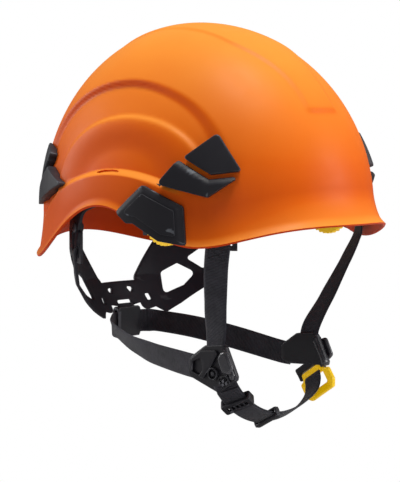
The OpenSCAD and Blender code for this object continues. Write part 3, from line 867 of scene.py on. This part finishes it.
# -------- side and chin webbing
WEB_W, WEB_T = 17, 1.4
FRONT = [((-75.2, -88.4, -1), (0.56, -0.83, 0), (-0.83, -0.56, 0)),
         ((-75.4, -88.4, -14), (0.56, -0.83, 0), (-0.83, -0.56, -0.1)),
         ((-74.8, -87.2, -22), (0.53, -0.84, 0), (-0.84, -0.53, -0.3)),
         ((-70, -81, -39), (0.42, -0.90, 0), (-0.90, -0.42, -0.4)),
         ((-60, -71.5, -66), (0.2, -0.98, 0.05), (-0.93, -0.2, -0.38)),
         ((-51.8, -64.4, -86), (0, -1, 0.1), (-0.97, 0, -0.25)),
         ((-49.8, -62.5, -97), (0, -1, 0.1), (-1, 0, -0.1))]
REAR = [((-1.5, 74.5, -91), (0, 0, 1), (0, 1, 0)),
        ((-11, 74.5, -91), (0, 0, 1), (-0.1, 1, 0)),
        ((-18, 71.5, -91.3), (-0.15, -0.1, 1), (-0.6, 0.8, 0)),
        ((-23.5, 62, -92.5), (-0.5, 0, 0.86), (-0.86, 0.2, -0.5)),
        ((-33, 35, -96.5), (-0.42, 0.05, 0.9), (-0.9, 0.2, -0.4)),
        ((-42, 4, -101.5), (-0.18, 0.1, 0.97), (-0.97, 0.24, -0.1)),
        ((-49, -34, -107.8), (0, 0.1, 1), (-1, 0.1, 0)),
        ((-49.8, -46, -109), (0, 0.1, 1), (-1, 0, 0))]
# How far each rear station hangs below the line above; the left strap is pulled up a little.
SAG = {"r": (0, 0, 0.6, 2.2, 4.6, 3.4, 0.4, 0), "l": (0, 0, -0.4, -1.2, -2.0, -1.2, 0, 0)}


def mirror_stations(stations):
    return [tuple((-v[0], v[1], v[2]) for v in s) for s in stations]


def side_straps():
    """Front straps fixed to the helmet, and rear straps that stretch between the helmet and the nape."""
    near, far, edge = 23, 31, 6.2
    box = [((near, -edge), (near, edge)), ((far, -edge), (far, edge)), ((near, -edge), (far, edge)),
           ((near, edge), (far, -edge)), ((near, -edge), (far, -edge)), ((near, edge), (far, edge))]
    for side in "rl":
        front = FRONT if side == "r" else mirror_stations(FRONT)
        tape = Ribbon(front, WEB_W, WEB_T)
        fit(tape.build(f"front_tape_{side}", web_finish), "helmet", "side_webbing", f"front_strap_{side}")
        fit(tape.stitches(f"front_thread_{side}", box, thread_finish), "helmet", "side_webbing")
        bulge = 0.25 if side == "r" else 0
        loose = [((c[0] - bulge * g, c[1], c[2] - g), w, f) for (c, w, f), g in zip(REAR, SAG[side])]
        rear = loose if side == "r" else mirror_stations(loose)
        tape = Ribbon(rear, WEB_W, WEB_T)
        strap = tape.build(f"rear_tape_{side}", web_finish)
        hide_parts(f"rear_strap_{side}")
        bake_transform(strap)


side_straps()

CHIN_C = np.array([4, -72, -80])
CHIN_R = 67
CHIN_LEAN = math.radians(30)
CLIP_BAR = np.array([0, 0.84, -0.55])  # direction of the clip's bar, which the strap turns round


def on_chin(s, w, n):
    """Place on the chin strap: degrees round its arc, across it, and outwards from its face."""
    t = np.radians(s)
    radial = stack(np.cos(t), 0, -np.sin(t))
    wide = radial * math.sin(CHIN_LEAN) + (0, math.cos(CHIN_LEAN), 0)
    face = radial * math.cos(CHIN_LEAN) - (0, math.sin(CHIN_LEAN), 0)
    return CHIN_C + radial * CHIN_R + wide * np.asarray(w)[..., None] + face * np.asarray(n)[..., None]


def chin_directions(s):
    """A station of the chin strap, whose width turns towards the clip's bar."""
    base = on_chin(s, 0, 0)
    wide = on_chin(s, 1, 0) - base
    face = on_chin(s, 0, 1) - base
    turn = float(smooth((96 - s) / 40))
    return base, wide * (1 - turn) + CLIP_BAR * turn, face


def make_chin_strap():
    """From the clip round under the chin, with a doubled and stitched end."""
    into_clip = [((50.2, -66.8, -120.8), CLIP_BAR, (1, 0, 0)),
                 ((47.4, -68.6, -123.4), CLIP_BAR, (1, 0, -0.2)),
                 ((45.6, -70.6, -128), CLIP_BAR, (1, 0, -0.4)),
                 ((42.2, -72, -133.6), CLIP_BAR, (0.8, 0, -0.6))]
    tape = Ribbon(into_clip + [chin_directions(s) for s in np.linspace(61, 145.4, 13)], WEB_W, WEB_T)
    fit(tape.build("chin_tape", web_finish), "helmet", "side_webbing", "chin_strap")
    stations = [chin_directions(s) for s in np.linspace(92, 141, 9)]
    doubled = Ribbon([(base + face * 1.3, wide, face) for base, wide, face in stations], WEB_W - 0.6, 1.2)
    fit(doubled.build("chin_tape_doubled", web_finish), "helmet", "side_webbing")
    runs = [((2.5, -6.5), (2.5, 6.5)), ((4.6, 6.5), (4.6, -6.5))]
    fit(doubled.stitches("chin_thread", runs, thread_finish), "helmet", "side_webbing")


make_chin_strap()


# -------- chin hardware
def chin_place(middle):
    """x runs along the strap from the middle, y across it and heights outwards."""
    def place(x, y, h):
        return on_chin(middle + np.degrees(x / CHIN_R), y, h)
    return place


def hard_plate(name, outline, low, high, place, bevel, cell, body, *nodes, holes=(), finish=hard_finish):
    """A plate of the strap hardware on a body, with the CAD nodes it stands for."""
    piece = plate(name, outline, holes, low, high, place, finish, bevel, cell)
    return fit(piece, body, "hardware_plastic", *nodes)


def slide_loop(name, node, body, middle, length, wall, holes):
    """A loop that slides on the strap: an outer plate with small holes, an inner plate and two end posts."""
    half_w, gap, half = WEB_W / 2 + 0.6, 1.5, length / 2
    place = chin_place(middle)
    outline = rounded(block(-half, -half_w - wall, half, half_w + wall), 1.4)
    row = [rounded(block(-half * 0.35, y - 1.1, half * 0.35, y + 1.1), 0.4)
           for y in np.linspace(-half_w + 2.2, half_w - 2.2, holes)]
    hard_plate(name, outline, gap + 0.75, gap + wall + 0.75, place, 0.5, 2, body, node, holes=row)
    hard_plate(f"{name}_back", outline, -gap - wall * 0.8, -gap, place, 0.45, 2, body)
    for tag, sign in (("near", -1), ("far", 1)):
        y = sign * (half_w + wall * 0.55)
        post = rounded(block(-half * 0.92, y - wall * 0.5, half * 0.92, y + wall * 0.5), 0.7)
        hard_plate(f"{name}_post_{tag}", post, -gap - wall * 0.4, gap + wall * 0.9, place, 0.45, 2, body)


slide_loop("strap_adjuster_bar", "adjuster", "strap_adjuster", 128.7, 8.4, 2.2, 5)
slide_loop("strap_keeper_loop", "keeper", "strap_keeper", 99.5, 5.0, 1.8, 0)

DIV = np.array([-50, -59, -109])
DIV_OUT = {"r": [(-8.5, 14), (-6, 15.6), (10.5, 17.6), (13.2, 16), (23, -3.6), (22.6, -6.4), (8.6, -16),
                 (5.4, -16), (-20, -7.4), (-21.4, -5), (-20.6, 5), (-19, 7)],
           "l": [(-8.5, 14), (-6, 15.6), (10.5, 17.6), (13.2, 16), (22.4, -2.4), (15, -6), (-13.5, -7.2),
                 (-20, -4.6), (-20.6, 5), (-19, 7)]}
MARK = (3.4, -3.2)  # middle of the round mark on the right divider
HINGE = (18.1, 6.2, 4.6)
LOCK_TURN = math.atan2(-19.6, 9.8)
LONG = {"r": "right", "l": "left"}


def at_divider(x, y, h):
    """x forwards, y up, heights outwards from the wearer."""
    return DIV + stack(-h, -x, y)


def turned(centre, angle):
    """The divider's frame moved to a centre and turned in its own plane."""
    def place(x, y, h):
        c, s = math.cos(angle), math.sin(angle)
        return at_divider(centre[0] + c * x - s * y, centre[1] + s * x + c * y, h)
    return place


def make_divider(side, wrap):
    """Body, grip with pits, raised face and rib; the right one also has a pocket and a round mark."""
    place = wrap(at_divider)
    hard_plate(f"divider_body_{side}", rounded(DIV_OUT[side], 2.2), -3.2, 1.2, place, 1.0, 4, "helmet",
               f"divider_{side}")
    grip = rounded([(6.5, -13.8), (19, -8.2), (16.4, -3.2), (9.4, -4.6)], 1.4)
    pits = [disc(8.9 + 3.3 * i + 0.2 * j, -11.4 + 1.35 * i + 2.5 * j, 0.8, 10)
            for i in range(3) for j in range(3)]
    hard_plate(f"divider_grip_{side}", grip, 0.6, 2.5, place, 0.35, 4, "helmet", holes=pits)
    upper = rounded([(-17.6, 5.4), (-8, 12), (8.5, 13.6), (2, 2.2), (-6.5, -7.6), (-18, -3.4)], 2.0)
    pocket = rounded([(-15.4, 4), (-16, -3), (-9.5, -5.2), (-6, -1), (-8, 7)], 1.4)
    hard_plate(f"divider_face_{side}", upper, 1.4, 3.1, place, 0.5, 4, "helmet",
               holes=[pocket] if side == "r" else [])
    rib = rounded([(10.6, 15.6), (13.4, 14.2), (22.2, -3.0), (21.4, -6.2), (18.8, -6.0), (16.6, -0.4),
                   (10.4, 10.8)], 1.8)
    hard_plate(f"divider_rib_{side}", rib, -4.0, 3.0, place, 1.5, 4, "helmet", finish=rib_finish)
    if side == "r":
        hard_plate("divider_ring_r", disc(*MARK, 4.4, 32), 1.6, 3.6, place, 0.3, 6, "helmet",
                   holes=[disc(*MARK, 3.4, 32)])
        hard_plate("divider_dot_r", disc(*MARK, 1.5, 20), 1.6, 3.5, place, 0.3, 6, "helmet")


def make_lock(side, wrap):
    """The tab that flips open about the hinge."""
    place, lift = wrap(turned(HINGE[:2], LOCK_TURN)), HINGE[2]
    tab = rounded([(-7.6, 2.6), (6.4, 2.6), (8.2, -2.2), (4.6, -7.4), (-5.6, -7.0), (-8.2, -2.4)], 2.4)
    hard_plate(f"lock_tab_{side}", tab, lift - 2.4, lift + 1.0, place, 1.5, 5, f"lock_{LONG[side]}",
               f"lock_{side}", finish=rib_finish)


for side, wrap in (("r", lambda place: place), ("l", flipped)):
    make_divider(side, wrap)
    make_lock(side, wrap)

# -------- chin buckle
CLIP_C, CLIP_TURN = (7.4, -11.2), math.radians(33.4)


def make_buckle():
    """The yellow clip, the seat it tilts on and the seat's two ears."""
    place = flipped(turned(CLIP_C, CLIP_TURN))
    frame_out = rounded([(-9.6, 1.9), (9.6, 1.9), (10.4, -3.2), (15.4, -4), (15.4, -14), (12, -19),
                         (-11, -19), (-14.4, -15.6), (-14.4, -4), (-10.4, -3.2)], 2.2)
    window = rounded(block(-9.8, -4.6, 9.8, -13.4), 1.2)
    fit(plate("buckle_frame", frame_out, [window], -2.4, 1.5, place, buckle_finish, 1.1, 4), "buckle",
        "buckle_plastic", "buckle_clip")
    seat = rounded(block(-12.6, 2.6, 12.6, 7.6), 1.2)
    hard_plate("buckle_seat", seat, -3.0, 1.9, place, 0.8, 4, "helmet", "clip_seat")
    for tag, x in (("a", -11.3), ("b", 11.3)):
        ear = rounded(block(x - 1.3, -2.2, x + 1.3, 3.4), 0.8)
        hard_plate(f"buckle_ear_{tag}", ear, -2.6, 1.6, place, 0.5, 4, "helmet")


make_buckle()


def at_guide(x, y, h):
    """x to the wearer's left, y up, heights backwards from the nape."""
    return stack(x, 74.5 + h, -91 + y)


def make_guide():
    """The loop at the nape that the rear webbing runs through."""
    outline = rounded(block(-12, -10.8, 12, 12), 3)
    slot = rounded(block(-8.4, -1.2, 8.4, 1.2), 1)
    outer = plate("guide_outer", outline, [slot], 1.35, 3.2, at_guide, hard_finish, 0.6, 4)
    fit(outer, "nape", "band_plastic", "strap_guide")
    inner = plate("guide_inner", outline, [], -3.0, -1.35, at_guide, hard_finish, 0.6, 4)
    fit(inner, "nape", "band_plastic")
    for tag, y in (("low", -9.9), ("high", 10.5)):
        bar = rounded(block(-11.6, y - 1.0, 11.6, y + 1.0), 0.8)
        post = plate(f"guide_bar_{tag}", bar, [], -2.4, 2.4, at_guide, hard_finish, 0.5, 4)
        fit(post, "nape", "band_plastic")


make_guide()

# -------- finishes of the CAD pieces that stay
KEPT = {"yoke": band_finish, "wheel": wheel_finish, "rack": band_finish, "eye": band_finish,
        "strut": band_finish, "anchor": anchor_finish, "strap_anchor": anchor_finish}
for name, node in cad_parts.items():
    stem = name.rsplit("_", 1)[0]
    if stem in KEPT and not node.hide_render:
        node.data.materials.clear()
        node.data.materials.append(KEPT[stem])


# -------- stage, light and camera
def seen_only(tree, seen, rest):
    """What the camera sees directly, and what lights the rest of the scene."""
    mix, path = tree.nodes.new("ShaderNodeMixShader"), tree.nodes.new("ShaderNodeLightPath")
    tree.links.new(path.outputs["Is Camera Ray"], mix.inputs[0])
    tree.links.new(rest, mix.inputs[1])
    tree.links.new(seen, mix.inputs[2])
    return mix.outputs[0]


def make_stage():
    """A pale floor under the object that the camera sees as white."""
    f = Finish("floor_pale", (0.5, 0.5, 0.5), 0.7)
    f.wire(f.mix(f.noise(3, 2), (0.46, 0.46, 0.46), (0.5, 0.5, 0.5)))
    glow = f.add("ShaderNodeEmission", Strength=1.0)
    out = f.tree.nodes["Material Output"]
    f.tree.links.new(seen_only(f.tree, glow.outputs[0], f.bsdf.outputs[0]), out.inputs["Surface"])
    below, half = 40, 6000
    floor_z = cad_box[0].z / MM - below
    pts = [(x, y, floor_z) for x, y in block(-half, -half, half, half)]
    mesh_piece("floor", pts, [(0, 1, 2, 3)], f.mat)


def soft_light(name, right, up, near, size, watts, colour=(1, 1, 1)):
    """A square soft light, placed in metres to the camera's right, up, and towards the camera."""
    lamp = bpy.data.lights.new(name, "AREA")
    lamp.shape, lamp.size, lamp.energy, lamp.color = "SQUARE", size, watts, colour
    holder = bpy.data.objects.new(name, lamp)
    holder.location = to_right * right + to_camera * near + Vector((0, 0, up))
    holder.rotation_euler = (-holder.location).to_track_quat("-Z", "Y").to_euler()
    bpy.context.scene.collection.objects.link(holder)


def make_light():
    """Four soft lights and a dim white surround."""
    soft_light("key", 0.25, 1.8, 0.35, 0.8, 32, (1, 0.99, 0.97))
    soft_light("right", 1.7, 0.45, 0.15, 0.7, 13)
    soft_light("left", -1.6, 0.45, -0.5, 0.7, 13)
    soft_light("front", -0.3, 0.15, 2.2, 0.8, 3)
    world = bpy.data.worlds.new("studio")
    bpy.context.scene.world = world
    world.use_nodes = True
    tree = world.node_tree
    seen, ambient = tree.nodes["Background"], tree.nodes.new("ShaderNodeBackground")
    seen.inputs["Color"].default_value = ambient.inputs["Color"].default_value = (1, 1, 1, 1)
    seen.inputs["Strength"].default_value = 1.0
    ambient.inputs["Strength"].default_value = 0.16
    out = tree.nodes["World Output"]
    tree.links.new(seen_only(tree, seen.outputs[0], ambient.outputs[0]), out.inputs["Surface"])
    bpy.context.scene.view_settings.view_transform = "Standard"


def make_camera():
    """The photograph's viewing angle, aimed at the origin and then shifted."""
    lens = bpy.data.cameras.new("camera")
    lens.lens, lens.sensor_width = CAM_LENS, 36
    lens.shift_x, lens.shift_y = CAM_SHIFT
    camera = bpy.data.objects.new("camera", lens)
    camera.location = (to_camera * math.cos(CAM_RISE) + Vector((0, 0, math.sin(CAM_RISE)))) * CAM_FAR
    camera.rotation_euler = (-camera.location).to_track_quat("-Z", "Y").to_euler()
    bpy.context.scene.collection.objects.link(camera)
    bpy.context.scene.camera = camera


make_stage()
make_light()
make_camera()
